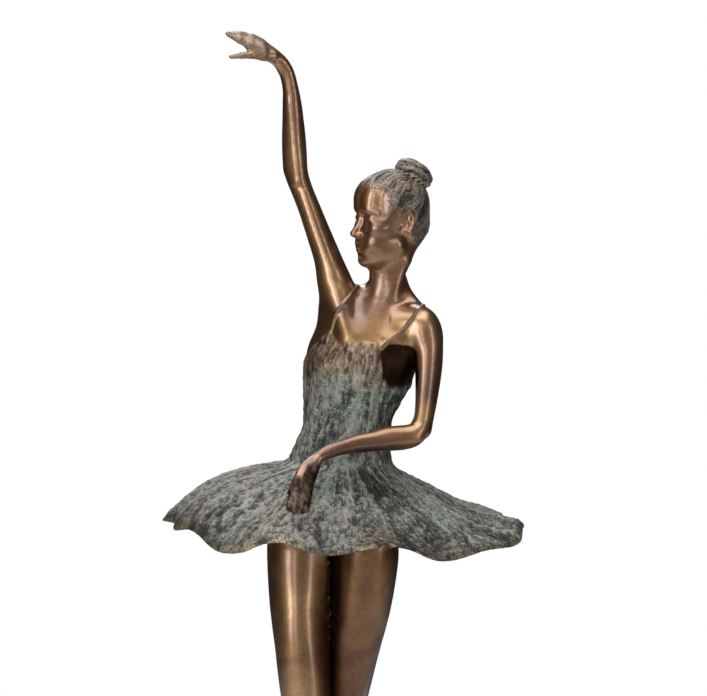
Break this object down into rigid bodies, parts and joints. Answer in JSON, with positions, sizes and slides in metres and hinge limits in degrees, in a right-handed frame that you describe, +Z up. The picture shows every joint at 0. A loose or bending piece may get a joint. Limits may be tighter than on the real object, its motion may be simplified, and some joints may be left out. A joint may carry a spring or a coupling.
{
  "type": "bronze statuette",
  "caption": "Bronze statuette of a ballet dancer on pointe in a tutu, one arm raised, on a round marble base.",
  "frame": {"origin": "centre of the underside of the felt pad, where the statuette rests", "axes": "+Z up, -Y the side the dancer faces and the side it is looked at from, +X to the dancer's left"},
  "size_m": [0.1991, 0.1982, 0.5886],
  "materials": {
    "polished_bronze": "burnished brown bronze, waxed",
    "patina_bronze": "rough cast bronze with grey-green patina",
    "bare_bronze": "machined bronze rod",
    "steel": "zinc plated",
    "marble": "polished black marble with pale veins",
    "felt": "glued felt"
  },
  "bodies": {
    "root": {"felt_pad": "felt", "marble_base": "marble", "base_washers": "steel", "base_bolts": "steel", "ground_plate": "polished_bronze", "toe_pins": "bare_bronze", "right_leg": "polished_bronze", "left_leg": "polished_bronze", "thigh_pins": "bare_bronze", "hips": "polished_bronze", "tie_bolt": "steel", "tie_washer": "steel", "tutu": "patina_bronze", "torso": "patina_bronze", "back_plugs": "bare_bronze", "raised_shoulder_pin": "bare_bronze", "raised_arm": "polished_bronze", "raised_wrist_pin": "bare_bronze", "raised_hand": "polished_bronze", "lowered_shoulder_pin": "bare_bronze", "lowered_arm": "polished_bronze", "lowered_wrist_pin": "bare_bronze", "lowered_hand": "polished_bronze", "neck_pin": "bare_bronze", "head": "polished_bronze", "hair_bun": "patina_bronze", "bun_pin": "bare_bronze"}
  },
  "joints": []
}
